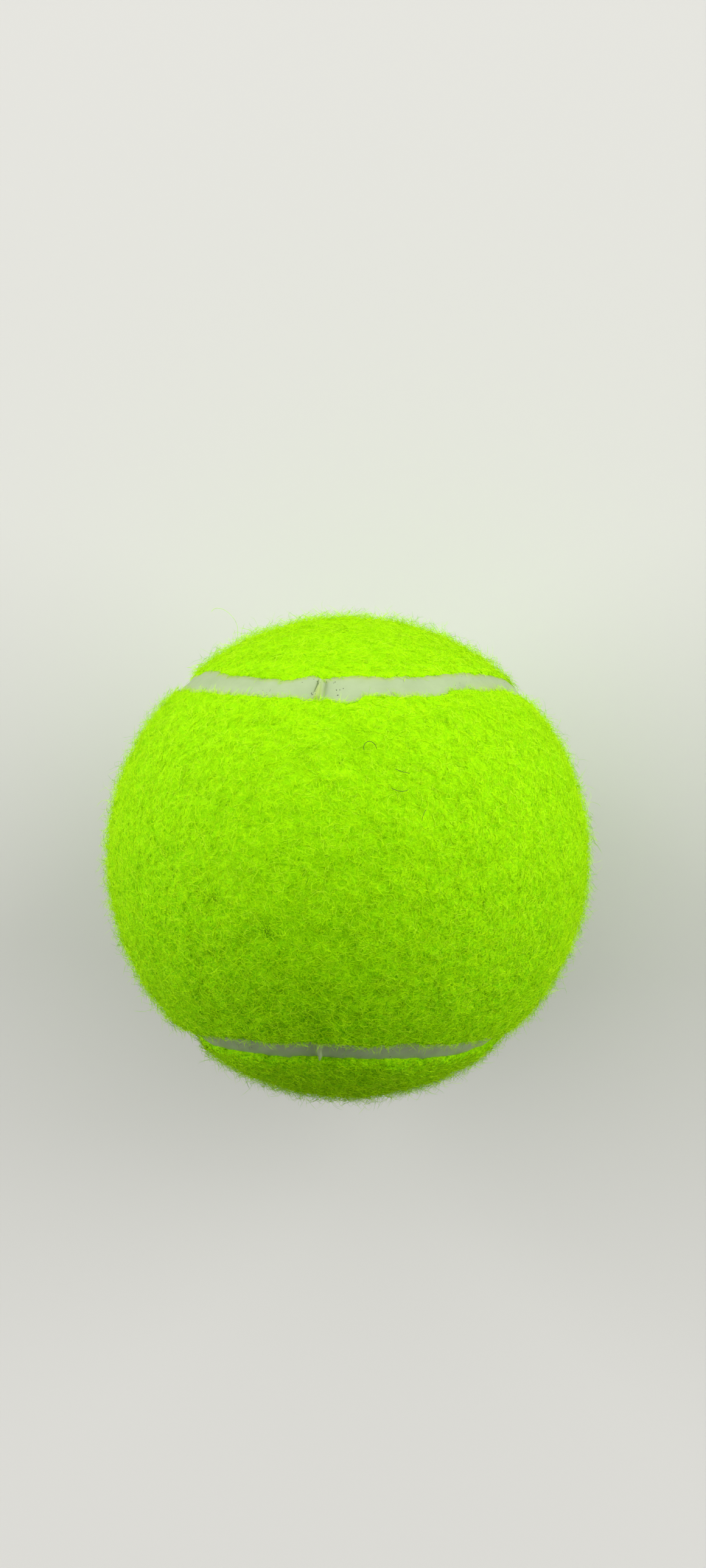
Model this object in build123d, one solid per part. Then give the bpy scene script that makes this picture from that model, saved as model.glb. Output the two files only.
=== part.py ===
from build123d import *
import os
from math import cos, pi, sin, sqrt

# Sizes of the ball in millimetres, from the inside out
core_radius = 30.0
core_wall = 3.4
joint_gap = 0.3
joint_bevel = 0.6
cement_bead = 0.4
coat_thickness = 0.2
backing_thickness = 0.3
felt_thickness = 2.8

# Seam between the two felt panels: its width and depth, and the arc across a panel's waist
seam_width = 4.0
seam_recess = 1.4
waist_width = 52.3

# Ridge of mould flash that crosses the seam at the mould's parting plane
flash_width = 0.6
flash_height = 0.3

# How far a cut runs past what it cuts, and how near a face is to a mirror plane that it lies in
cut_overrun = 2.0
plane_nearness = 0.001

# Points that the seam's curve is drawn through in a quarter of its loop
seam_points = 20

# Radii where one layer ends and the next begins
cavity_radius = core_radius - core_wall
coat_radius = core_radius + coat_thickness
backing_radius = coat_radius + backing_thickness
ball_radius = backing_radius + felt_thickness
seam_radius = ball_radius - seam_recess

# Joint between the core's halves: heights of its faces and radii where the bevels leave the shell
joint_height = joint_gap / 2
bevel_height = joint_height + joint_bevel
outer_rim = sqrt(core_radius**2 - bevel_height**2)
inner_rim = sqrt(cavity_radius**2 - bevel_height**2)

# Angles seen from the middle of the ball, in radians: half a panel's waist and half the seam's width
waist_half_angle = waist_width / (2 * ball_radius)
seam_half_angle = seam_width / (2 * seam_radius)

# The seam is a long wave round the ball with a short wave of three times the rate on it
long_wave = (1 + sin(waist_half_angle)) / 2
short_wave = (1 - sin(waist_half_angle)) / 2

# Half turn that takes an upper piece to its lower place
swap_axis = Axis((0, 0, 0), (1, 1, 0))


def seam_direction(turn, offset_angle):
    """Direction from the ball's middle to the seam line, or to a line beside it on the upper panel's side."""
    line = Vector(
        long_wave * sin(turn) + short_wave * sin(3 * turn),
        long_wave * cos(turn) - short_wave * cos(3 * turn),
        cos(waist_half_angle) * cos(2 * turn),
    )
    along = Vector(
        long_wave * cos(turn) + 3 * short_wave * cos(3 * turn),
        -long_wave * sin(turn) + 3 * short_wave * sin(3 * turn),
        -2 * cos(waist_half_angle) * sin(2 * turn),
    ).normalized()
    towards_upper = along.cross(line)
    return line * cos(offset_angle) + towards_upper * sin(offset_angle)


def seam_curve(radius, offset_angle):
    """A quarter of the seam's loop on a sphere, with a little more at both ends."""
    overrun_angle = cut_overrun / core_radius
    first = -overrun_angle
    last = pi / 2 + overrun_angle
    turns = [first + (last - first) * step / seam_points for step in range(seam_points + 1)]
    return Edge.make_spline([seam_direction(turn, offset_angle) * radius for turn in turns])


def seam_blade(offset_angle):
    """Blade that follows the seam and points at the ball's middle, as the felt's cutting die does."""
    inner_curve = seam_curve(core_radius - cut_overrun, offset_angle)
    outer_curve = seam_curve(ball_radius + cut_overrun, offset_angle)
    return Face.make_surface_from_curves(inner_curve, outer_curve)


def layer_quarter(inner_radius, outer_radius):
    """Quarter of a hollow sphere, between the two planes that a panel is mirrored in."""
    profile = Curve() + [
        ThreePointArc((0, -outer_radius), (outer_radius, 0), (0, outer_radius)),
        Line((0, outer_radius), (0, inner_radius)),
        ThreePointArc((0, inner_radius), (inner_radius, 0), (0, -inner_radius)),
        Line((0, -inner_radius), (0, -outer_radius)),
    ]
    return revolve(make_face(Plane.XZ * profile), Axis.Z, 90).solid()


def cut_at_seam(piece, offset_angle):
    """The two pieces that a cut along the seam leaves, the lower one first."""
    return piece.split(seam_blade(offset_angle), keep=Keep.ALL).sort_by(Axis.Z)


def panel_quarter(inner_radius, outer_radius):
    """Quarter of the upper panel's dumbbell in one layer of the ball."""
    return cut_at_seam(layer_quarter(inner_radius, outer_radius), seam_half_angle)[-1]


def seam_quarter(inner_radius, outer_radius):
    """Quarter of the strip between the two panels in one layer of the ball."""
    below_upper = cut_at_seam(layer_quarter(inner_radius, outer_radius), seam_half_angle)[0]
    return cut_at_seam(below_upper, -seam_half_angle)[-1]


def whole(quarter):
    """Whole piece from a quarter: its outer faces, mirrored twice and sewn into one skin."""
    skin = [
        face
        for face in quarter.faces()
        if min(abs(face.center().X), abs(face.center().Y)) > plane_nearness
    ]
    half = skin + [face.mirror(Plane.XZ) for face in skin]
    return Solid(Shell(half + [face.mirror(Plane.YZ) for face in half]))


def swap(upper_piece):
    """The same piece turned over into its lower place."""
    return upper_piece.rotate(swap_axis, 180)


def make_core_half():
    """Moulded half shell above the joint, with a bevel on both edges of the joint face."""
    profile = Curve() + [
        RadiusArc((0, core_radius), (outer_rim, bevel_height), core_radius),
        Polyline(
            (outer_rim, bevel_height),
            (core_radius - joint_bevel, joint_height),
            (cavity_radius + joint_bevel, joint_height),
            (inner_rim, bevel_height),
        ),
        RadiusArc((inner_rim, bevel_height), (0, cavity_radius), -cavity_radius),
        Line((0, cavity_radius), (0, core_radius)),
    ]
    return revolve(make_face(Plane.XZ * profile), Axis.Z).solid()


def make_joint_cement():
    """Cement ring that fills the joint, flush outside and with a rounded bead inside."""
    profile = Curve() + [
        ThreePointArc((outer_rim, -bevel_height), (core_radius, 0), (outer_rim, bevel_height)),
        Polyline(
            (outer_rim, bevel_height),
            (core_radius - joint_bevel, joint_height),
            (cavity_radius + joint_bevel, joint_height),
            (inner_rim, bevel_height),
        ),
        ThreePointArc((inner_rim, bevel_height), (cavity_radius - cement_bead, 0), (inner_rim, -bevel_height)),
        Polyline(
            (inner_rim, -bevel_height),
            (cavity_radius + joint_bevel, -joint_height),
            (core_radius - joint_bevel, -joint_height),
            (outer_rim, -bevel_height),
        ),
    ]
    return revolve(make_face(Plane.XZ * profile), Axis.Z).solid()


def make_cement_coat():
    """Rubber solution dipped all over the core."""
    return (Sphere(coat_radius) - Sphere(core_radius)).solid()


def make_panel_backing():
    """Rubberised back coat of the upper felt panel."""
    return whole(panel_quarter(coat_radius, backing_radius))


def make_felt_panel():
    """Upper felt dumbbell, its outer edge rounded over from the ball's surface down to the seam."""
    quarter = panel_quarter(backing_radius, ball_radius)
    outside = quarter.faces().filter_by(GeomType.SPHERE).sort_by(SortBy.AREA)[-1]
    rim = outside.edges().filter_by(GeomType.BSPLINE)
    return whole(quarter.fillet(seam_recess, rim))


def make_seam_band():
    """Rubber seam from the core's coat up to its sunken face, with the flash ridges on it."""
    parting_slab = Box(flash_width, 2 * ball_radius, 2 * ball_radius)
    flash = seam_quarter(seam_radius, seam_radius + flash_height) & parting_slab
    return whole(seam_quarter(coat_radius, seam_radius) + flash)


def main():
    os.makedirs("parts", exist_ok=True)
    core_half = make_core_half()
    backing = make_panel_backing()
    felt = make_felt_panel()
    pieces = {
        "core_half_upper": core_half,
        "core_half_lower": swap(core_half),
        "core_joint_cement": make_joint_cement(),
        "core_cement_coat": make_cement_coat(),
        "upper_panel_backing": backing,
        "lower_panel_backing": swap(backing),
        "upper_felt_panel": felt,
        "lower_felt_panel": swap(felt),
        "seam_band": make_seam_band(),
    }
    for node, piece in pieces.items():
        export_step(piece, f"parts/{node}.step")


main()
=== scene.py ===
from math import cos, pi, radians, sin, sqrt

import bpy
import numpy as np
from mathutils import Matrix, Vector


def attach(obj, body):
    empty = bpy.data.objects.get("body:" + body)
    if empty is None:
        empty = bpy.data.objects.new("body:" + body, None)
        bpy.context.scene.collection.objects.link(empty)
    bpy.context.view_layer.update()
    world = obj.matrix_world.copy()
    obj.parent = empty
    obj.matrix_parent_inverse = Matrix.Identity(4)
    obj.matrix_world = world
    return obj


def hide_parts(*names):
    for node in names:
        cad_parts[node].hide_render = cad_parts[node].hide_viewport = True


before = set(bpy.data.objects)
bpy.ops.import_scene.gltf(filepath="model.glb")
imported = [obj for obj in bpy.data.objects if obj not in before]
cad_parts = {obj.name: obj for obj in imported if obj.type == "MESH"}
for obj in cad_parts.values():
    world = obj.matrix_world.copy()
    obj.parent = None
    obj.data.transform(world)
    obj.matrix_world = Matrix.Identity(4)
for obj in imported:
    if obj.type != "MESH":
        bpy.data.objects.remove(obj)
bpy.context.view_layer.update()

# Core: two half shells of filled natural rubber, each moulded in a hot press and then ground at
# its joint face. They are cemented rim to rim and hold the ball's air.
millimetre = 0.001


def linear(code):
    """Linear colour from an sRGB hex value."""
    shares = [int(code[place:place + 2], 16) / 255 for place in (1, 3, 5)]
    return (*[((c + 0.055) / 1.055) ** 2.4 if c > 0.04045 else c / 12.92 for c in shares], 1.0)


def add_node(material, kind, inputs, **settings):
    """Adds a node to a material. Each input takes a value or another node's output."""
    made = material.node_tree.nodes.new(kind)
    for name, value in settings.items():
        setattr(made, name, value)
    for name, value in inputs.items():
        if isinstance(value, bpy.types.NodeSocket):
            material.node_tree.links.new(value, made.inputs[name])
        else:
            made.inputs[name].default_value = value
    return made


def start_material(name):
    """A material with nothing in it but its output."""
    material = bpy.data.materials.new(name)
    material.use_nodes = True
    material.node_tree.nodes.clear()
    return material


def give_surface(material, shader):
    """Sends a shader to the material's output."""
    add_node(material, "ShaderNodeOutputMaterial", {"Surface": shader.outputs[0]})


def pattern_scale(size):
    """Texture scale for a pattern whose parts are a size in millimetres."""
    return 1 / (size * millimetre)


def clouded_material(name, dark, light, cloud_size, roughness, ior):
    """A material whose colour drifts between two tones in clouds of a size in millimetres."""
    material = start_material(name)
    place = add_node(material, "ShaderNodeTexCoord", {}).outputs["Object"]
    clouds = add_node(
        material,
        "ShaderNodeTexNoise",
        {"Vector": place, "Scale": pattern_scale(cloud_size)},
    )
    clouded = add_node(
        material,
        "ShaderNodeMix",
        {0: clouds.outputs["Fac"], 6: linear(dark), 7: linear(light)},
        data_type="RGBA",
    )
    skin = add_node(
        material,
        "ShaderNodeBsdfPrincipled",
        {"Base Color": clouded.outputs[2], "Roughness": roughness, "IOR": ior},
    )
    give_surface(material, skin)
    return material


def dress_nodes(material, slot_name, *names):
    """Gives CAD nodes that stay a finish. Its slot name is not used."""
    for name in names:
        node_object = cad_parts[name]
        for material_slot in node_object.material_slots:
            material_slot.material = material


# Press-moulded natural rubber: matt dark grey, clouded by its clay filler.
filler_cloud = 2.0
core_rubber = clouded_material(
    "press moulded natural rubber", "#3A3A38", "#55534F", filler_cloud, roughness=0.7, ior=1.52
)
dress_nodes(core_rubber, "core_rubber", "core_half_upper", "core_half_lower")


# Joint cement: rubber solution painted on both rims and cured under pressure. It fills the bevels
# and leaves a small bead inside.
brush_streak = 1.2

# Cured rubber cement: brown and a little glossy, with streaks that the brush left.
joint_cement = clouded_material(
    "cured rubber cement", "#6B5A3C", "#8A774F", brush_streak, roughness=0.45, ior=1.52
)
dress_nodes(joint_cement, "joint_cement", "core_joint_cement")


# Cement coat: the core is dipped in rubber solution and dried, so that the panels stick to it.
# Drips leave it slightly streaked.
drip_streak = 4.0

# Dipped rubber solution: pale and satin, uneven where it dripped.
dipped_cement = clouded_material(
    "dipped rubber solution", "#B9B39A", "#CFCBB8", drip_streak, roughness=0.4, ior=1.52
)
dress_nodes(dipped_cement, "coat_cement", "core_cement_coat")


# Panel backings: the woven base of each felt panel is brushed with rubber solution before the
# panel is cut, so the back is a thin rubberised cloth.
thread_fleck = 0.6

# Rubberised cotton: matt and pale, flecked by its threads.
rubberised_cloth = clouded_material(
    "rubberised cotton cloth", "#A9A88E", "#C6C5AD", thread_fleck, roughness=0.8, ior=1.5
)
dress_nodes(rubberised_cloth, "backing_rubber", "upper_panel_backing", "lower_panel_backing")


# Seam: pale rubber solution on the panels' cut edges, which swells and cures in the mould into one
# closed loop between the two dumbbells. The mould's parting plane leaves a small fold on it twice.

# Sizes that the seam shares with the solids, and the two waves that its line is made of
ball_radius = 33.3
coat_radius = 30.2
backing_radius = 30.5
seam_width = 4.0
seam_radius = 31.9
waist_width = 52.3
waist_half_angle = waist_width / (2 * ball_radius)
long_wave = (1 + sin(waist_half_angle)) / 2
short_wave = (1 - sin(waist_half_angle)) / 2

# Level of the rubber's face, which lies deeper on one side of the ball, its dome and its tilt, and
# how far it runs under the felt
rubber_level = 32.56
rubber_swing = 0.42
rubber_dome = 0.1
rubber_tilt = 0.12
rubber_lap = 0.35

# Strength, spacing and seed of the waves on the rubber's face
rubber_waves = ((0.03, 2.2, 51), (0.05, 7.0, 52))

# Columns round the loop and rows across it, and the closer columns at a fold and the turn they span
seam_columns = 1700
seam_rows = 22
fold_columns = 81
fold_span = 0.04

# Panels' cut edges: how far the felt has swollen over the seam, more on one side of the ball, and how
# much closer one panel was set to the other there
felt_swell = 0.2
swell_swing = 0.12
set_closer = 0.45

# Strength, spacing and seed of the edges' waver, and its limits
edge_wavers = ((0.13, 10.0, 31), (0.09, 2.4, 41), (0.06, 1.0, 45))
least_waver = -0.5
greatest_waver = 1.2

# Places where the rubber swelled over a panel's edge: turn, side, half length and amount. Side 1 is the
# upper panel's and -1 the lower one's.
rubber_swells = (
    (0.074, 1, 1.7, 1.0),
    (-0.015, 1, 1.6, 0.45),
    (0.28, 1, 3.5, 0.3),
    (-0.045, -1, 1.7, 0.85),
    (0.09, -1, 2.6, 0.3),
    (-0.45, 1, 1.6, 0.4),
    (-0.47, -1, 2.6, 0.45),
    (3.29, -1, 2.4, 0.4),
    (2.9, 1, 1.8, 0.4),
    (1.3, 1, 2.2, 0.7),
    (4.4, -1, 2.4, 0.8),
)

# Folds: turn, height of the ridge, depths of the crease and the hollow, and how far dye stains each
folds = (
    (0.0, 0.44, 0.22, 0.16, 0.3),
    (pi, 0.572, 0.0, 0.0, 0.15),
)

# Shape of a fold: the rubber's climb to it, its ridge and foot, crease and hollow, slant and ends
climb_height = 0.2
climb_run = 0.9
ridge_half = 0.2
foot_spread = 0.9
crease_half = 0.07
crease_reach = 1.1
hollow_half = 0.32
fold_slant = -0.12
fold_taper = 0.3
fold_at_edge = 0.4


def unit(vectors):
    """The same directions at length 1."""
    return vectors / np.linalg.norm(vectors, axis=-1, keepdims=True)


def seam_line(turn):
    """Directions from the ball's middle to the seam line, and beside it towards the upper panel."""
    line = np.stack([
        long_wave * np.sin(turn) + short_wave * np.sin(3 * turn),
        long_wave * np.cos(turn) - short_wave * np.cos(3 * turn),
        cos(waist_half_angle) * np.cos(2 * turn),
    ], axis=-1)
    along = np.stack([
        long_wave * np.cos(turn) + 3 * short_wave * np.cos(3 * turn),
        -long_wave * np.sin(turn) + 3 * short_wave * np.sin(3 * turn),
        -2 * cos(waist_half_angle) * np.sin(2 * turn),
    ], axis=-1)
    return line, np.cross(unit(along), line)


def even_turns(count):
    """Turns that step round the seam in equal lengths, from turn 0."""
    fine_steps = 20000
    fine = np.linspace(0, 2 * pi, fine_steps + 1)
    line, _ = seam_line(fine)
    run = np.concatenate([[0], np.cumsum(np.linalg.norm(np.diff(line, axis=0), axis=1))])
    return np.interp(np.arange(count) / count * run[-1], run, fine)


def from_turn(turn, other):
    """Length along the seam from one turn to another near it."""
    nearest = (turn - other + pi) % (2 * pi) - pi
    return nearest * (long_wave + 3 * short_wave) * seam_radius


def unevenness(points, size, seed):
    """Random smooth height at points, of unit strength, with bumps about as far apart as size."""
    draw = np.random.default_rng(seed)
    count = 24
    waves = unit(draw.normal(size=(count, 3))) * 2 * pi / (size * draw.uniform(0.75, 1.4, (count, 1)))
    phases = draw.uniform(0, 2 * pi, count)
    total = np.zeros(points.shape[:-1])
    for wave, phase in zip(waves, phases):
        total += np.sin(points @ wave + phase)
    return total / sqrt(count / 2)


def cut_edge(turn, side):
    """Length from the seam line to a panel's edge, which wavers by a few tenths of a millimetre."""
    line, _ = seam_line(turn)
    waver = np.zeros_like(turn)
    for strength, spacing, seed in edge_wavers:
        waver += strength * unevenness(line * seam_radius, spacing, seed + side)
    for swell_turn, swell_side, half_length, amount in rubber_swells:
        if swell_side == side:
            waver += amount * np.exp(-(from_turn(turn, swell_turn) / half_length) ** 4)
    closed = set_closer * (1 - side) * np.clip(np.cos(turn), 0, 1)
    straight = seam_width / 2 - felt_swell - swell_swing * np.cos(turn) - closed
    return straight + np.clip(waver, least_waver, greatest_waver)


def beside_seam(turn, across):
    """Unit directions at a length beside the seam line, positive towards the upper panel."""
    line, towards_upper = seam_line(turn)
    angle = (across / seam_radius)[..., None]
    return line * np.cos(angle) + towards_upper * np.sin(angle)


def past_fold(turn, across, fold_turn):
    """Length past the slanted crest of a fold."""
    return from_turn(turn, fold_turn) - fold_slant * across / 2


def fold_height(turn, across):
    """Height of the folds: the rubber climbs to a crease and a narrow ridge, with a hollow behind it."""
    height = np.zeros_like(turn)
    for fold_turn, ridge, crease, hollow, _ in folds:
        past = past_fold(turn, across, fold_turn)
        before = np.minimum(past, 0)
        behind = np.maximum(past, 0)
        foot = ridge_half * (1 + foot_spread * np.clip(across, 0, 2))
        height += climb_height * np.exp(before / climb_run - (behind / ridge_half) ** 2)
        height += ridge * np.exp(-((before / foot) ** 4) - (behind / ridge_half) ** 4)
        middle = np.exp(-((across / crease_reach) ** 4))
        height -= crease * middle * np.exp(-(((past + foot + 2 * crease_half) / crease_half) ** 2))
        height -= hollow * np.exp(-(((past - ridge_half - hollow_half) / hollow_half) ** 2))
    return height


def mesh_piece(name, points, faces):
    """Mesh object from points in millimetres and an array of faces with the same count of corners."""
    mesh = bpy.data.meshes.new(name)
    mesh.vertices.add(len(points))
    mesh.vertices.foreach_set("co", (points * millimetre).astype(np.float32).ravel())
    mesh.loops.add(faces.size)
    mesh.loops.foreach_set("vertex_index", faces.astype(np.int32).ravel())
    mesh.polygons.add(len(faces))
    mesh.polygons.foreach_set("loop_start", np.arange(len(faces), dtype=np.int32) * faces.shape[1])
    mesh.update(calc_edges=True)
    mesh.shade_smooth()
    made = bpy.data.objects.new(name, mesh)
    bpy.context.scene.collection.objects.link(made)
    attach(made, "root")
    return made


def keep_value(piece, name, values):
    """Stores one number for each point of a piece, for its material to read."""
    kept = piece.data.attributes.new(name, "FLOAT", "POINT")
    kept.data.foreach_set("value", values.astype(np.float32).ravel())


# The columns round the seam stand closer together at the folds
at_fold = np.linspace(-fold_span, fold_span, fold_columns)
seam_turns = np.concatenate([even_turns(seam_columns), at_fold % (2 * pi), pi + at_fold])
seam_turns = np.unique(seam_turns.round(5))
turn_grid, share_grid = np.meshgrid(seam_turns, np.linspace(-1, 1, seam_rows), indexing="ij")
edge_grid = np.where(share_grid > 0, cut_edge(turn_grid, 1), cut_edge(turn_grid, -1))
across_grid = (edge_grid + rubber_lap) * share_grid
from_edge = edge_grid - np.abs(across_grid)
top = beside_seam(turn_grid, across_grid)
level = rubber_level + rubber_swing * np.cos(turn_grid) + rubber_dome * (1 - share_grid**4)
level -= rubber_tilt * share_grid * np.clip(np.cos(turn_grid), 0, 1)
for strength, spacing, seed in rubber_waves:
    level += strength * unevenness(top * seam_radius, spacing, seed)
level += fold_height(turn_grid, across_grid) * np.clip(fold_at_edge + from_edge / fold_taper, 0, 1)
under = top[:, [-1, seam_rows // 2, 0]] * coat_radius
rings = np.concatenate([top * level[..., None], under], axis=1)
corner = np.arange(rings.shape[0] * rings.shape[1]).reshape(rings.shape[:2])
after = np.roll(corner, -1, axis=0)
seam_faces = np.stack([corner, np.roll(corner, -1, axis=1), np.roll(after, -1, axis=1), after], axis=-1)
seam = mesh_piece("seam_rubber", rings.reshape(-1, 3), seam_faces.reshape(-1, 4))

# Dye from the felt has bled into the rubber here and there, along the edges and at the folds
drift_stain = 0.25
drift_spacing = 11.0
greatest_drift = 1.5
edge_stain = 0.5
edge_stain_reach = 0.4
fold_stain_half = 0.5
drift = np.clip(unevenness(top * seam_radius, drift_spacing, seed=53), 0, greatest_drift)
stain = drift_stain * drift * np.abs(share_grid)
stain += edge_stain * np.clip(1 - from_edge / edge_stain_reach, 0, 1)
for fold_turn, _, _, _, fold_stain in folds:
    near_crest = np.exp(-((past_fold(turn_grid, across_grid, fold_turn) / fold_stain_half) ** 2))
    stain += fold_stain * near_crest * np.clip(1 + across_grid, 0, 2)
unstained = np.zeros(under.shape[:2])
keep_value(seam, "stain", np.concatenate([stain, unstained], axis=1))

# Mould-cured rubber: a pale grey skin, satin, with grit pressed into it and a faint mottle. Its green tint
# is painted reflection of the yellow felt around it.
mottle_size = 3.0
grit_spacing = 0.52
grit_patch_size = 5.0
grit_radius_share = 0.18
grain_size = 0.4
grain_depth = 0.04
seam_rubber = start_material("mould cured pale rubber")
place = add_node(seam_rubber, "ShaderNodeTexCoord", {}).outputs["Object"]
mottle = add_node(
    seam_rubber,
    "ShaderNodeTexNoise",
    {"Vector": place, "Scale": pattern_scale(mottle_size), "Detail": 3.0},
)
# Pale grey tones tinted green: painted reflection of the felt
mottled = add_node(
    seam_rubber,
    "ShaderNodeMix",
    {0: mottle.outputs["Fac"], 6: linear("#98AC7C"), 7: linear("#B2C496")},
    data_type="RGBA",
)
bled = add_node(seam_rubber, "ShaderNodeAttribute", {}, attribute_name="stain")
stained = add_node(
    seam_rubber,
    "ShaderNodeMix",
    {0: bled.outputs["Fac"], 6: mottled.outputs[2], 7: linear("#A9BE4E")},
    data_type="RGBA",
)
grit_shape = add_node(
    seam_rubber,
    "ShaderNodeTexNoise",
    {"Vector": place, "Scale": pattern_scale(grit_spacing)},
)
grit_push = (grit_spacing * millimetre,) * 3
grit_place = add_node(
    seam_rubber,
    "ShaderNodeVectorMath",
    {0: grit_shape.outputs["Color"], 1: grit_push, 2: place},
    operation="MULTIPLY_ADD",
)
grit = add_node(
    seam_rubber,
    "ShaderNodeTexVoronoi",
    {"Vector": grit_place.outputs[0], "Scale": pattern_scale(grit_spacing)},
)
grit_patch = add_node(
    seam_rubber,
    "ShaderNodeTexNoise",
    {"Vector": place, "Scale": pattern_scale(grit_patch_size), "Detail": 1.0},
)
grit_reach = add_node(
    seam_rubber,
    "ShaderNodeMapRange",
    {
        "Value": grit_patch.outputs["Fac"],
        "From Min": 0.36,
        "From Max": 0.7,
        "To Min": 0.0,
        "To Max": grit_radius_share,
    },
)
speck = add_node(
    seam_rubber,
    "ShaderNodeMath",
    {0: grit.outputs["Distance"], 1: grit_reach.outputs["Result"]},
    operation="LESS_THAN",
)
gritty = add_node(
    seam_rubber,
    "ShaderNodeMix",
    {0: speck.outputs[0], 6: stained.outputs[2], 7: linear("#485038")},
    data_type="RGBA",
)
skin_grain = add_node(
    seam_rubber,
    "ShaderNodeTexNoise",
    {"Vector": place, "Scale": pattern_scale(grain_size), "Detail": 3.0},
)
skin_roughness = add_node(
    seam_rubber,
    "ShaderNodeMapRange",
    {"Value": skin_grain.outputs["Fac"], "To Min": 0.48, "To Max": 0.68},
)
skin_bump = add_node(
    seam_rubber,
    "ShaderNodeBump",
    {"Height": skin_grain.outputs["Fac"], "Strength": 0.35, "Distance": grain_depth * millimetre},
)
skin = add_node(
    seam_rubber,
    "ShaderNodeBsdfPrincipled",
    {
        "Base Color": gritty.outputs[2],
        "Roughness": skin_roughness.outputs["Result"],
        "Normal": skin_bump.outputs["Normal"],
        "IOR": 1.52,
    },
)
give_surface(seam_rubber, skin)
seam.data.materials.append(seam_rubber)
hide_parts("seam_band")


# Felt panels: two like dumbbells die-cut from needled wool and nylon felt, dyed optic yellow. They
# are stretched over the cemented core, and steam in the mould swells them and rounds their edges.

# Radius of the felt's face and of its rounded edge, lengths from the cut to the rows on that edge, how far
# a panel's spine reaches from its middle, and the columns and rows of a panel
felt_radius = 33.2
shoulder = 0.8
shoulder_steps = np.array([0.0, 0.05, 0.13, 0.24, 0.38, 0.55, 0.75, 1.0, 1.3])
spine_reach = radians(116)
panel_columns = 760
panel_rows = 64

# Height and spacing of the lumps. All are lower at a panel's edge, and the fine ones also where the nap
# is smooth.
wide_lumps = (0.06, 5.0)
fine_lumps = ((0.042, 1.9), (0.016, 0.95))
lumps_at_edge = 0.15
roughest = 1.4
smoothing = 0.9

# The side that faces the main window, as a direction from the ball's middle. The nap is drawn flattest
# there, and the felt's colour is painted lighter there as painted light.
window_way = np.array([0.0, 0.8, 0.6])

# How deep the fibres of the nap are rooted in the felt
root_depth = 0.08

# Soiled spots on the felt: where they are, and how wide
soil_strength = 0.5
soil_spots = (
    (-11.7, -2.9, 31.0, 0.7),
    (-4.6, -6.6, 32.3, 0.9),
    (-0.4, -17.7, 28.2, 0.9),
    (20.5, -22.0, -13.0, 0.9),
    (-27.5, 10.0, -15.5, 0.8),
    (8.0, 25.0, -20.0, 0.8),
    (-14.0, -22.0, -20.0, 0.9),
)


def soil_at(points):
    """How soiled the felt is at points."""
    total = np.zeros(points.shape[:-1])
    for *middle, width in soil_spots:
        apart = np.linalg.norm(unit(points) - unit(np.array(middle)), axis=-1) * ball_radius
        total += soil_strength * np.exp(-((apart / width) ** 2))
    return total


def smoothed_and_lit_at(points):
    """How far the nap is drawn flat at points, and the felt painted lighter as painted light: most on the
    side that faces the main window.
    """
    return np.clip(unit(points) @ window_way, 0, 1)


def panel_grid(side):
    """Outside of a panel from its edge to its spine: directions, and lengths from the edge."""
    step = even_turns(panel_columns)
    turn = pi / 2 - step if side > 0 else step
    # A column and its mirror column across the spine end at the same point of the spine
    number = np.arange(panel_columns)
    half = np.minimum(number, panel_columns - number) / (panel_columns / 2)
    reach = spine_reach * (1 - 2 * half)
    spine = np.stack([np.sin(reach), 0 * reach, np.cos(reach)], axis=-1)
    if side < 0:
        spine = spine[:, [1, 0, 2]] * (1, 1, -1)
    edge = beside_seam(turn, side * cut_edge(turn, side))
    ahead = unit(np.roll(edge, -1, axis=0) - np.roll(edge, 1, axis=0))
    span = np.arccos(np.clip((edge * spine).sum(1), -1, 1))
    inward = unit(spine - edge * np.cos(span)[:, None])
    squareness = np.sqrt(1 - (inward * ahead).sum(1) ** 2)
    near = shoulder_steps[:, None] / (felt_radius * squareness)
    rest = np.linspace(0, 1, panel_rows - len(shoulder_steps) + 1)[1:, None]
    angle = np.concatenate([near, near[-1] + (span - near[-1]) * rest])
    direction = edge * np.cos(angle)[..., None] + inward * np.sin(angle)[..., None]
    return direction, angle * felt_radius * squareness


def panel_piece(name, side, seed):
    """A felt panel as a closed solid: rounded and lumpy outside, with a cut wall and a smooth back."""
    direction, distance = panel_grid(side)
    inset = np.clip(shoulder - distance, 0, shoulder)
    radius = felt_radius - shoulder + np.sqrt(shoulder**2 - inset**2)
    wide_height, wide_spacing = wide_lumps
    lumps = wide_height * unevenness(direction * felt_radius, wide_spacing, seed)
    roughed = roughest - smoothing * smoothed_and_lit_at(direction)
    for number, (height, spacing) in enumerate(fine_lumps, 1):
        lumps += height * roughed * unevenness(direction * felt_radius, spacing, seed + number)
    radius += lumps * np.clip(distance / shoulder, lumps_at_edge, 1)
    outside = direction * radius[..., None]
    outside[..., 2] = np.maximum(outside[..., 2], root_depth / 2 - ball_radius)
    back_rows = [panel_rows - 1, panel_rows * 3 // 4, panel_rows // 2, panel_rows // 4, 0]
    layers = np.concatenate([direction[back_rows] * backing_radius, outside])
    corner = np.arange(layers.shape[0] * panel_columns).reshape(layers.shape[:2])
    # The spine's points are shared by a column and its mirror
    number = np.arange(panel_columns)
    shared = np.minimum(number, -number % panel_columns)
    corner[0] = corner[0][shared]
    corner[-1] = corner[-1][shared]
    after = np.roll(corner, -1, axis=1)
    faces = np.stack([corner[:-1], after[:-1], after[1:], corner[1:]], axis=-1).reshape(-1, 4)
    used, faces = np.unique(faces, return_inverse=True)
    points = layers.reshape(-1, 3)[used]
    panel = mesh_piece(name, points, faces.reshape(-1, 4))
    keep_value(panel, "soil", soil_at(points))
    # How flat the nap is drawn and how much light is painted into the felt's colour, for its material to
    # read
    keep_value(panel, "lit_and_smooth", smoothed_and_lit_at(points))
    return panel, outside, distance


upper_felt, upper_outside, upper_distance = panel_piece("upper_felt", side=1, seed=61)
lower_felt, lower_outside, lower_distance = panel_piece("lower_felt", side=-1, seed=71)
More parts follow.
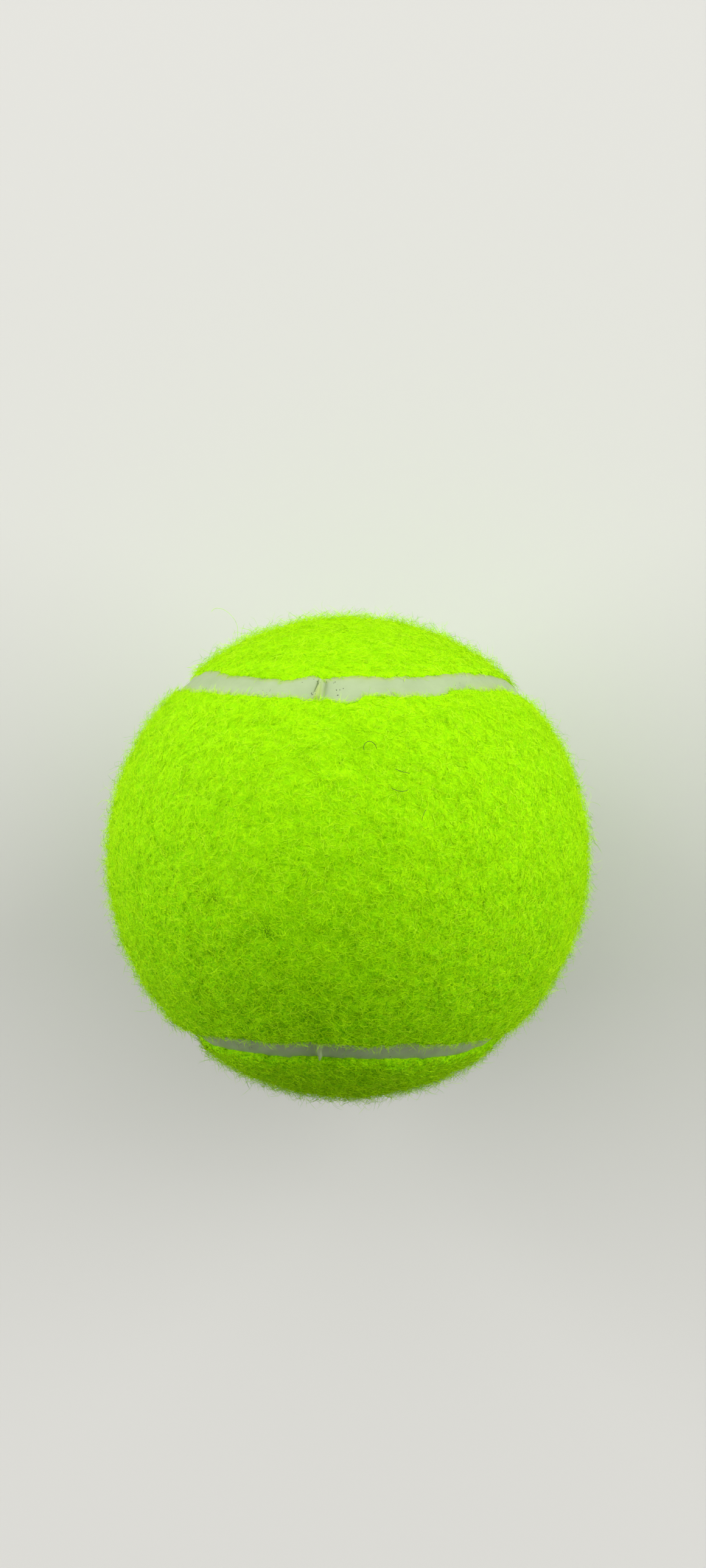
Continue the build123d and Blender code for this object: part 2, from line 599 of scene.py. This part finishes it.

# Needled felt, teaselled: matted curly fibres with pits between them. Fibres of 0.02 mm are too fine to
# show, so the matting is drawn with lines of about 0.1 mm. The ground between the lines is painted darker
# than the fibres and darkest in the pits, as painted shade between the fibres; towards the main window
# that shade is painted out, as painted light.
mat_size = 0.9
mat_depth = 0.1
pit_size = 0.4
dye_patch = 7.0
needled_felt = start_material("needled wool felt, optic yellow")
place = add_node(needled_felt, "ShaderNodeTexCoord", {}).outputs["Object"]
matting = add_node(
    needled_felt,
    "ShaderNodeTexNoise",
    {"Vector": place, "Scale": pattern_scale(mat_size), "Detail": 4.0, "Distortion": 1.2},
)
off_line = add_node(
    needled_felt,
    "ShaderNodeMath",
    {0: matting.outputs["Fac"], 1: 0.5},
    operation="SUBTRACT",
)
line_gap = add_node(needled_felt, "ShaderNodeMath", {0: off_line.outputs[0]}, operation="ABSOLUTE")
thread = add_node(
    needled_felt,
    "ShaderNodeMapRange",
    {"Value": line_gap.outputs[0], "From Min": 0.0, "From Max": 0.07, "To Min": 1.0, "To Max": 0.0},
)
pits = add_node(
    needled_felt,
    "ShaderNodeTexNoise",
    {"Vector": place, "Scale": pattern_scale(pit_size), "Detail": 2.0},
)
pit_depth = add_node(
    needled_felt,
    "ShaderNodeMapRange",
    {"Value": pits.outputs["Fac"], "From Min": 0.35, "From Max": 0.62, "To Min": 0.0, "To Max": 1.0},
)
dye = add_node(
    needled_felt,
    "ShaderNodeTexNoise",
    {"Vector": place, "Scale": pattern_scale(dye_patch), "Detail": 2.0},
)
# The ground's tones drift at random, and both are painted darker than the fibres: painted shade between
# them
dyed_shaded = add_node(
    needled_felt,
    "ShaderNodeMix",
    {0: dye.outputs["Fac"], 6: linear("#8ADA02"), 7: linear("#9AE602")},
    data_type="RGBA",
)
# The pits are painted darker still: painted shade
pit_shaded = add_node(
    needled_felt,
    "ShaderNodeMix",
    {0: pit_depth.outputs["Result"], 6: linear("#6CBC02"), 7: dyed_shaded.outputs[2]},
    data_type="RGBA",
)
# Towards the main window the ground is painted one lighter tone over its pits and shade: painted light
lit_side = add_node(needled_felt, "ShaderNodeAttribute", {}, attribute_name="lit_and_smooth")
lit_and_smooth = add_node(
    needled_felt,
    "ShaderNodeMix",
    {0: lit_side.outputs["Fac"], 6: pit_shaded.outputs[2], 7: linear("#9EE802")},
    data_type="RGBA",
)
matted = add_node(
    needled_felt,
    "ShaderNodeMix",
    {0: thread.outputs["Result"], 6: lit_and_smooth.outputs[2], 7: linear("#B4F604")},
    data_type="RGBA",
)
soil = add_node(needled_felt, "ShaderNodeAttribute", {}, attribute_name="soil")
soiled = add_node(
    needled_felt,
    "ShaderNodeMix",
    {0: soil.outputs["Fac"], 6: matted.outputs[2], 7: linear("#2E6A0A")},
    data_type="RGBA",
)
mat_height = add_node(
    needled_felt,
    "ShaderNodeMath",
    {0: thread.outputs["Result"], 1: pit_depth.outputs["Result"]},
    operation="ADD",
)
mat_bump = add_node(
    needled_felt,
    "ShaderNodeBump",
    {"Height": mat_height.outputs[0], "Strength": 0.4, "Distance": mat_depth * millimetre},
)
skin = add_node(
    needled_felt,
    "ShaderNodeBsdfPrincipled",
    {
        "Base Color": soiled.outputs[2],
        "Normal": mat_bump.outputs["Normal"],
        "Roughness": 0.9,
        "IOR": 1.54,
        "Specular IOR Level": 0.05,
        "Sheen Weight": 0.3,
        "Sheen Roughness": 0.5,
        "Sheen Tint": linear("#A8F400"),
    },
)
give_surface(needled_felt, skin)
for felt, node_name in ((upper_felt, "upper_felt_panel"), (lower_felt, "lower_felt_panel")):
    felt.data.materials.append(needled_felt)
    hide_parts(node_name)


# Nap: wire brushes tease the felt's surface up, so that matted fibres lie over it in all directions,
# fine fuzz stands off it and longer fibres curl on top. Real ones are about 0.02 mm thick, so they are
# drawn thicker and fewer.

# Patches on a panel, how far a fibre's shading leans towards the ball's own, the tufts' spacing, strength
# and limits, and the swing in radians and the waves of a fibre's crimp
nap_patches = 12
nap_lean = 0.95
tuft_size = 1.5
tuft_share = 0.12
tuft_limits = (0.1, 2)
crimp_swing = 0.45
crimp_waves = 1.2

# Count on a panel, length, least and greatest lift in degrees, droop in degrees, curl in radians,
# thickness drawn, and points along a fibre
nap_kinds = (
    (58000, 1.0, 5, 26, 34, 2.2, 0.054, 4),
    (37000, 1.85, 34, 88, 64, 2.4, 0.03, 5),
    (25000, 1.5, 12, 40, 50, 3.0, 0.054, 7),
    (900, 2.2, 45, 88, 60, 3.0, 0.036, 8),
)

# How the fibres of one kind differ: most lie near the least lift, and droop, length and thickness are
# shares of the kind's own
lift_lean = (1.3, 2.2)
droop_limits = (0.5, 1.5)
length_spread = 0.3
length_limits = (0.5, 2.0)
thickness_limits = (0.7, 1.25)

# Brushing leaves whorls in the nap: their turn in radians and spacing, how far a fibre strays from them,
# and where along its bend it follows them
whorls = ((1.6, 9.0), (0.9, 3.0))
fibre_stray = 0.9
followed_at = 0.3

# A direction to measure a fibre's heading from
heading_from = (0.31, -0.52, 0.79)

# Fibres at the seam: share of their length that is left, its change over the ball and its growth away
# from the edge, the longest that stands there, and how far they lean over the rubber
trimmed_share = 0.62
trim_swing = 0.23
trim_growth = 0.5
longest_at_edge = 1.2
edge_lean = 0.7

# How far a fibre may sink into the felt
sink_depth = 0.02

# Dyed wool and nylon fibre, brushed: each is one plain tint of optic yellow, with a soft sheen. After the
# colour come the shares of matted fibres, fuzz, curls and wisps that have it. The tints vary at random,
# but the curls on top take the light and pale tints more often and the matted fibres beneath the green
# one: partly painted highlight on top and painted shade below.
nap_tints = (
    ("brushed wool fibre, optic yellow", "#AEF202", (0.39, 0.47, 0.23, 0.4)),
    ("brushed wool fibre, light", "#C6FF08", (0.28, 0.30, 0.48, 0.4)),
    ("brushed wool fibre, green", "#7CCE02", (0.28, 0.16, 0.06, 0.1)),
    ("brushed nylon fibre, pale", "#CCFF28", (0.05, 0.07, 0.23, 0.1)),
    ("brushed wool fibre, soiled", "#50860A", (0.0, 0.0, 0.0, 0.0)),
)
main_tint = 0
light_tint = 1
green_tint = 2
soiled_tint = 4

# Shares of the green fibres that take the main tint towards the main window, as painted light, and of
# soiled fibres in a spot
green_hidden = 0.7
soiled_share = 0.6

nap_materials = []
for name, code, _ in nap_tints:
    fibre = start_material(name)
    skin = add_node(
        fibre,
        "ShaderNodeBsdfPrincipled",
        {
            "Base Color": linear(code),
            "Roughness": 0.7,
            "IOR": 1.54,
            "Specular IOR Level": 0.05,
            "Sheen Weight": 0.3,
            "Sheen Roughness": 0.5,
            "Sheen Tint": linear("#B4FA04"),
        },
    )
    give_surface(fibre, skin)
    nap_materials.append(fibre)


def fibre_tubes(path, thickness):
    """Closed three-sided tubes along paths: points, faces, and normals that lean off the ball, as fuzz
    lets light through and so shows little of its own roundness."""
    count = len(path)
    ahead = unit(path[:, 2:] - path[:, :-2])
    sideways = unit(np.cross(ahead, unit(path[:, 1:-1])))
    above = np.cross(sideways, ahead)
    corner_angle = (np.arange(3) * 2 * pi / 3)[:, None]
    spoke = sideways[:, :, None] * np.cos(corner_angle) + above[:, :, None] * np.sin(corner_angle)
    ring = path[:, 1:-1, None] + spoke * thickness[:, None, None, None] / 2
    points = np.concatenate([path[:, :1], ring.reshape(count, -1, 3), path[:, -1:]], axis=1)
    facing = np.concatenate([path[:, :1] * 0, spoke.reshape(count, -1, 3), path[:, -1:] * 0], axis=1)
    facing = unit(facing + nap_lean * unit(points))
    each = points.shape[1]
    rings = np.arange(1, each - 1).reshape(-1, 3)
    beside = np.roll(rings, -1, axis=1)
    faces = np.concatenate([
        np.stack([0 * rings[0], rings[0], beside[0]], axis=1),
        np.stack([rings[:-1], rings[1:], beside[1:]], axis=-1).reshape(-1, 3),
        np.stack([rings[:-1], beside[1:], beside[:-1]], axis=-1).reshape(-1, 3),
        np.stack([0 * rings[0] + each - 1, beside[-1], rings[-1]], axis=1),
    ])
    faces = faces[None] + (np.arange(count) * each)[:, None, None]
    return points.reshape(-1, 3), faces.reshape(-1, 3), facing.reshape(-1, 3)


def gathered(bunches):
    """Points and faces of several bunches of tubes as one mesh."""
    starts = np.cumsum([0] + [len(bunch[0]) for bunch in bunches])
    points = np.concatenate([bunch[0] for bunch in bunches])
    faces = np.concatenate([bunch[1] + start for bunch, start in zip(bunches, starts)])
    return points, faces


def nap_roots(outside, distance, count, draw, seed):
    """Random places all over a panel, gathered into tufts: points, slopes, the way to the nearest edge
    and the length to it."""
    beside = np.roll(outside, -1, axis=1)
    quads = np.stack([outside[:-1], beside[:-1], beside[1:], outside[1:]])
    slope = np.cross(quads[1] - quads[0], quads[3] - quads[0]).reshape(-1, 3)
    corner = quads[0].reshape(-1, 3)
    tufts = tuft_share * (1 - smoothed_and_lit_at(corner)) * unevenness(corner, tuft_size, seed)
    weight = np.cumsum(np.linalg.norm(slope, axis=-1) * np.clip(1 + tufts, *tuft_limits))
    chosen = np.searchsorted(weight, draw.uniform(0, weight[-1], count))
    corners = quads.reshape(4, -1, 3)[:, chosen]
    along, inward = draw.uniform(size=(2, count, 1))
    root = (corners[0] * (1 - along) + corners[1] * along) * (1 - inward)
    root += (corners[3] * (1 - along) + corners[2] * along) * inward
    slope = unit(slope[chosen])
    slope *= np.sign((slope * root).sum(1, keepdims=True))
    return root, slope, unit(corners[0] - corners[3]), distance[:-1].ravel()[chosen]


def nap_paths(outside, distance, kind, draw, seed):
    """Curly fibres of one kind rooted all over a panel, and their thickness."""
    count, length, low, high, droop, curl, thickness, stops = kind
    root, slope, outward, edge = nap_roots(outside, distance, count, draw, seed)
    axis = unit(np.cross(slope, heading_from))
    across = np.cross(slope, axis)
    heading = np.zeros(count)
    for number, (turn, spacing) in enumerate(whorls, 1):
        heading += turn * unevenness(root, spacing, seed + number)
    heading += draw.normal(0, fibre_stray, count) + pi * draw.integers(0, 2, count)
    lift = np.radians(low + (high - low) * draw.beta(*lift_lean, count))
    fall = np.radians(droop) * draw.uniform(*droop_limits, count)
    bend = draw.normal(0, curl, count)
    phase = draw.uniform(0, 2 * pi, count)
    run = length * np.clip(draw.lognormal(0, length_spread, count), *length_limits)
    # Fibres at the seam are short where the rubber is nearly flush, and hang over it where it lies deep
    run *= np.clip(trimmed_share - trim_swing * root[:, 1] / ball_radius + trim_growth * edge, 0, 1)
    run = np.minimum(run, longest_at_edge + edge)
    overhang = outward * (edge_lean * np.exp(-edge / shoulder))[:, None]
    path = [root - slope * root_depth]
    for step in range(stops - 1):
        share = (step + 0.5) / (stops - 1)
        crimp = crimp_swing * np.sin(crimp_waves * 2 * pi * share + phase)
        way = (heading + bend * (share - followed_at) + crimp)[:, None]
        rise = (lift - fall * share)[:, None]
        move = (axis * np.cos(way) + across * np.sin(way)) * np.cos(rise) + slope * np.sin(rise)
        path.append(path[-1] + unit(move + overhang) * (run / (stops - 1))[:, None])
    path = np.stack(path, axis=1)
    # No fibre dips back under the felt, and the ball's weight presses the nap flat where it rests
    far = np.linalg.norm(path[:, 1:], axis=-1)
    lowest = np.minimum(np.linalg.norm(root, axis=-1), felt_radius)[:, None] - sink_depth
    path[:, 1:] *= (np.maximum(far, lowest) / far)[..., None]
    path[..., 2] = np.maximum(path[..., 2], thickness - ball_radius)
    return path, thickness * draw.uniform(*thickness_limits, count)


def nap_pieces(name, outside, distance, side, seed):
    """A panel's nap, in patches along the dumbbell."""
    draw = np.random.default_rng(seed)
    patches = [[] for _ in range(nap_patches)]
    for number, kind in enumerate(nap_kinds):
        path, thickness = nap_paths(outside, distance, kind, draw, seed)
        root = path[:, 0]
        # Curls take the light and pale tints more often and matted fibres the green one: partly painted
        # highlight and painted shade
        shares = [tint_shares[number] for _, _, tint_shares in nap_tints]
        tint = draw.choice(len(nap_tints), len(path), p=shares)
        # Green fibres take the main tint towards the main window: painted light
        hidden = draw.uniform(size=len(path)) < green_hidden * smoothed_and_lit_at(root)
        tint[(tint == green_tint) & hidden] = main_tint
        tint[draw.uniform(size=len(path)) < soiled_share * soil_at(root)] = soiled_tint
        # The upper panel's spine runs along X, and the lower one's along Y
        along = np.arctan2(root[:, 0 if side > 0 else 1], side * root[:, 2])
        for patch, members in zip(patches, np.array_split(np.argsort(along), nap_patches)):
            patch.append((*fibre_tubes(path[members], thickness[members]), tint[members]))
    pieces = []
    for number, bunches in enumerate(patches, 1):
        patch = mesh_piece(f"{name}_{number}", *gathered(bunches))
        patch.data.normals_split_custom_set_from_vertices(np.concatenate([bunch[2] for bunch in bunches]))
        for material in nap_materials:
            patch.data.materials.append(material)
        tints = [np.repeat(tint, len(faces) // len(tint)) for _, faces, _, tint in bunches]
        patch.data.polygons.foreach_set("material_index", np.concatenate(tints).astype(np.int32))
        pieces.append(patch)
    return pieces


upper_nap = nap_pieces("upper_nap", upper_outside, upper_distance, side=1, seed=81)
lower_nap = nap_pieces("lower_nap", lower_outside, lower_distance, side=-1, seed=91)


# Lint: a few dark hairs and one long loose fibre, as any ball picks up. They are shed wool, held only
# by the nap that they lie in.
hair_points = 14
wisp_points = 26
wisp_thickness = 0.05
wisp_smoothings = 6

# A hair lies like the middle of an arch: the arch's height, and where along it the hair starts and ends
arch_height = 1.2
arch_start = 0.15
arch_end = 0.85

# Where a hair starts, the way it sets off in degrees from right to up, its bend, length and thickness
hairs = (
    ((6.6, 14.9, 29.0), 128, -3.6, 3.2, 0.075),
    ((10.0, 13.2, 28.9), -60, 1.6, 2.4, 0.07),
    ((11.9, 10.8, 29.2), -120, -1.9, 2.9, 0.07),
    ((14.1, 8.2, 29.0), 200, 1.4, 2.0, 0.06),
)

# The loose fibre leaves the felt, swings out and curls back at its end
wisp_stops = np.array([
    (-15.2, 29.0, 5.2),
    (-14.6, 31.2, 5.4),
    (-14.9, 32.7, 5.6),
    (-16.2, 34.2, 6.2),
    (-17.6, 34.5, 6.9),
    (-18.1, 33.8, 7.2),
])

# Soiled wool fibre, loose: nearly black green, matt.
lint = start_material("loose dark wool fibre")
skin = add_node(
    lint,
    "ShaderNodeBsdfPrincipled",
    {"Base Color": linear("#1E2A0A"), "Roughness": 0.7, "IOR": 1.54},
)
give_surface(lint, skin)
hair_bunches = []
for start, set_off, bend, length, thickness in hairs:
    share = np.linspace(0, 1, hair_points)
    way = radians(set_off) + bend * share
    run = np.stack([np.cos(way), np.sin(way), 0 * way], axis=1) * length / hair_points
    path = np.array(start) + np.cumsum(run, axis=0)
    height = felt_radius + arch_height * np.sin(pi * (arch_start + (arch_end - arch_start) * share))
    hair_bunches.append(fibre_tubes((unit(path) * height[:, None])[None], np.array([thickness])))
hair = mesh_piece("lint_hairs", *gathered(hair_bunches))
hair.data.materials.append(lint)

stop_numbers = np.arange(len(wisp_stops))
fine_numbers = np.linspace(0, len(wisp_stops) - 1, wisp_points)
wisp_path = np.stack([np.interp(fine_numbers, stop_numbers, column) for column in wisp_stops.T], axis=1)
for _ in range(wisp_smoothings):
    wisp_path[1:-1] = (wisp_path[:-2] + 2 * wisp_path[1:-1] + wisp_path[2:]) / 4
tube_points, tube_faces, _ = fibre_tubes(wisp_path[None], np.array([wisp_thickness]))
wisp = mesh_piece("loose_fibre", tube_points, tube_faces)
wisp.data.materials.append(nap_materials[light_tint])


# Floor: a plain pale sheet that the ball rests on. To the camera it is pale and fades into the room
# far off, and it throws less light back, so that the ball keeps its own shade underneath.
floor_size = 20.0
fade_start = 0.15
fade_end = 1.2
pale_grey = linear("#E4E3DE")
bpy.ops.mesh.primitive_plane_add(size=floor_size, location=(0, 0, -ball_radius * millimetre))
floor = bpy.context.object
floor.name = "floor"

# Paper, uncoated: pale grey and quite matt, with no pattern.
pale_floor = start_material("matt pale paper")
seen = add_node(pale_floor, "ShaderNodeLightPath", {})
lit_paper = add_node(pale_floor, "ShaderNodeBsdfDiffuse", {"Color": linear("#90908C")})
seen_paper = add_node(pale_floor, "ShaderNodeBsdfDiffuse", {"Color": pale_grey})
far_paper = add_node(pale_floor, "ShaderNodeEmission", {"Color": pale_grey, "Strength": 1.0})
place = add_node(pale_floor, "ShaderNodeTexCoord", {}).outputs["Object"]
from_ball = add_node(pale_floor, "ShaderNodeVectorMath", {0: place}, operation="LENGTH")
fade = add_node(
    pale_floor,
    "ShaderNodeMapRange",
    {"Value": from_ball.outputs["Value"], "From Min": fade_start, "From Max": fade_end},
    interpolation_type="SMOOTHSTEP",
)
fading = add_node(
    pale_floor,
    "ShaderNodeMixShader",
    {0: fade.outputs["Result"], 1: seen_paper.outputs[0], 2: far_paper.outputs[0]},
)
paper = add_node(
    pale_floor,
    "ShaderNodeMixShader",
    {0: seen.outputs["Is Camera Ray"], 1: lit_paper.outputs[0], 2: fading.outputs[0]},
)
give_surface(pale_floor, paper)
floor.data.materials.append(pale_floor)


# Light: one wide soft window above the top of the picture, a softer one on each side, and a little
# even room light.
room_strength = 0.16
world = bpy.data.worlds.new("room")
bpy.context.scene.world = world
world.use_nodes = True
world.node_tree.nodes.clear()
seen = add_node(world, "ShaderNodeLightPath", {})
room_light = add_node(
    world,
    "ShaderNodeBackground",
    {"Color": linear("#FFFFFF"), "Strength": room_strength},
)
room_seen = add_node(world, "ShaderNodeBackground", {"Color": pale_grey, "Strength": 1.0})
room = add_node(
    world,
    "ShaderNodeMixShader",
    {0: seen.outputs["Is Camera Ray"], 1: room_light.outputs[0], 2: room_seen.outputs[0]},
)
add_node(world, "ShaderNodeOutputWorld", {"Surface": room.outputs[0]})

# Name, place, width, height and power of each window
windows = (
    ("window", (0.34, 2.05, 1.1), 7.2, 3.0, 79.0),
    ("left_window", (-2.25, 0.66, 0.85), 2.7, 2.0, 64.0),
    ("right_window", (2.25, 0.66, 0.85), 2.7, 2.0, 61.0),
)
for name, lamp_place, width, height, power in windows:
    lamp_data = bpy.data.lights.new(name, "AREA")
    lamp_data.shape = "RECTANGLE"
    lamp_data.size = width
    lamp_data.size_y = height
    lamp_data.energy = power
    lamp = bpy.data.objects.new(name, lamp_data)
    lamp.location = lamp_place
    lamp.rotation_euler = Vector(lamp_place).to_track_quat("Z", "Y").to_euler()
    bpy.context.scene.collection.objects.link(lamp)


# Camera: held by hand almost straight above the ball.
picture_height = 2576
focal_length = 2560
camera_data = bpy.data.cameras.new("camera")
camera_data.sensor_width = 36
camera_data.lens = camera_data.sensor_width * focal_length / picture_height
camera_data.clip_start = 0.01
camera = bpy.data.objects.new("camera", camera_data)
camera.location = (0.0338, 0.0190, 0.2166)
camera.rotation_euler = (radians(-2.29), radians(8.71), radians(0.25))
bpy.context.scene.collection.objects.link(camera)
bpy.context.scene.camera = camera
bpy.context.scene.view_settings.view_transform = "Standard"
